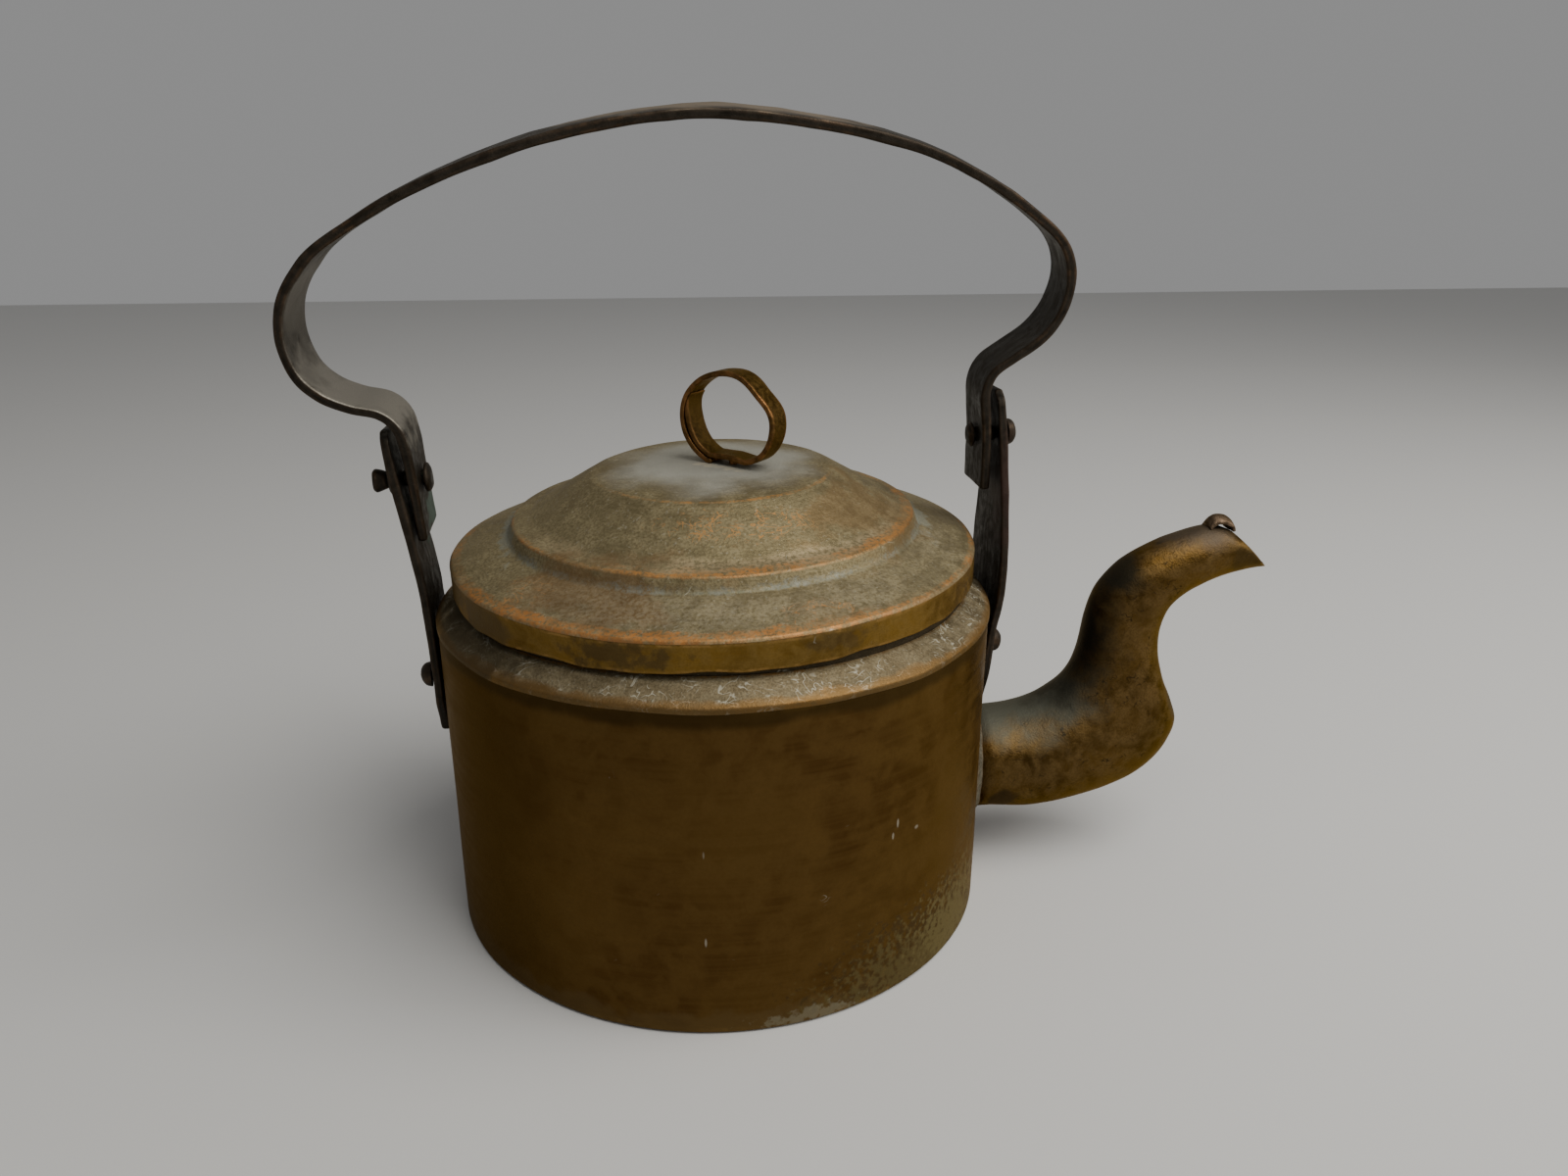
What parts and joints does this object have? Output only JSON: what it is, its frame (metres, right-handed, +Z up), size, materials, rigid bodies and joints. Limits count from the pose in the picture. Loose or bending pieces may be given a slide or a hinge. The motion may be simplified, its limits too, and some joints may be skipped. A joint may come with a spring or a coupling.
{
  "type": "kettle",
  "caption": "Old hand-made copper stove kettle with a tall swinging strap bail on riveted ears, a goose-neck spout and a stepped lift-off lid with a finger ring.",
  "frame": {"origin": "middle of the underside of the base, on the body's axis", "axes": "+Z up along the body's axis, +X towards the spout"},
  "size_m": [0.4225, 0.24, 0.3401],
  "materials": {
    "wall_copper": "aged brown copper, satin, faintly streaked, with yellow-green corrosion near the base",
    "patina_copper": "dull grey-green patina over copper, rubbed to orange on the ridges",
    "spout_copper": "golden brown copper with fine hammer and file marks",
    "dark_copper": "nearly black forged copper, worn to grey-tan on its inner faces"
  },
  "bodies": {
    "kettle": {"body_wall": "wall_copper", "base_plate": "wall_copper", "shoulder_plate": "patina_copper", "neck_collar": "patina_copper", "spout_tube": "spout_copper", "spout_flange": "patina_copper", "spout_tip_tab": "dark_copper", "ear_rear": "dark_copper", "ear_front": "dark_copper", "rear_rivet_1": "dark_copper", "rear_rivet_2": "dark_copper", "front_rivet_1": "dark_copper", "front_rivet_2": "dark_copper", "pivot_rivet_rear": "dark_copper", "pivot_washer_rear": "dark_copper", "pivot_rivet_front": "dark_copper", "pivot_washer_front": "dark_copper"},
    "bail": {"bail": "dark_copper"},
    "lid": {"lid_crown": "patina_copper", "lid_skirt": "spout_copper", "lid_ring": "spout_copper", "lid_ring_rivet": "spout_copper"}
  },
  "joints": [
    {"name": "bail_swing", "type": "hinge", "parent": "kettle", "child": "bail", "pos_m": [-0.0035, 0, 0.2015], "axis": [0.9987, 0, 0.0512], "range_deg": [-110, 95]},
    {"name": "lid_lift", "type": "slide", "parent": "kettle", "child": "lid", "axis": [0, 0, 1], "range_m": [0, 0.034]}
  ]
}
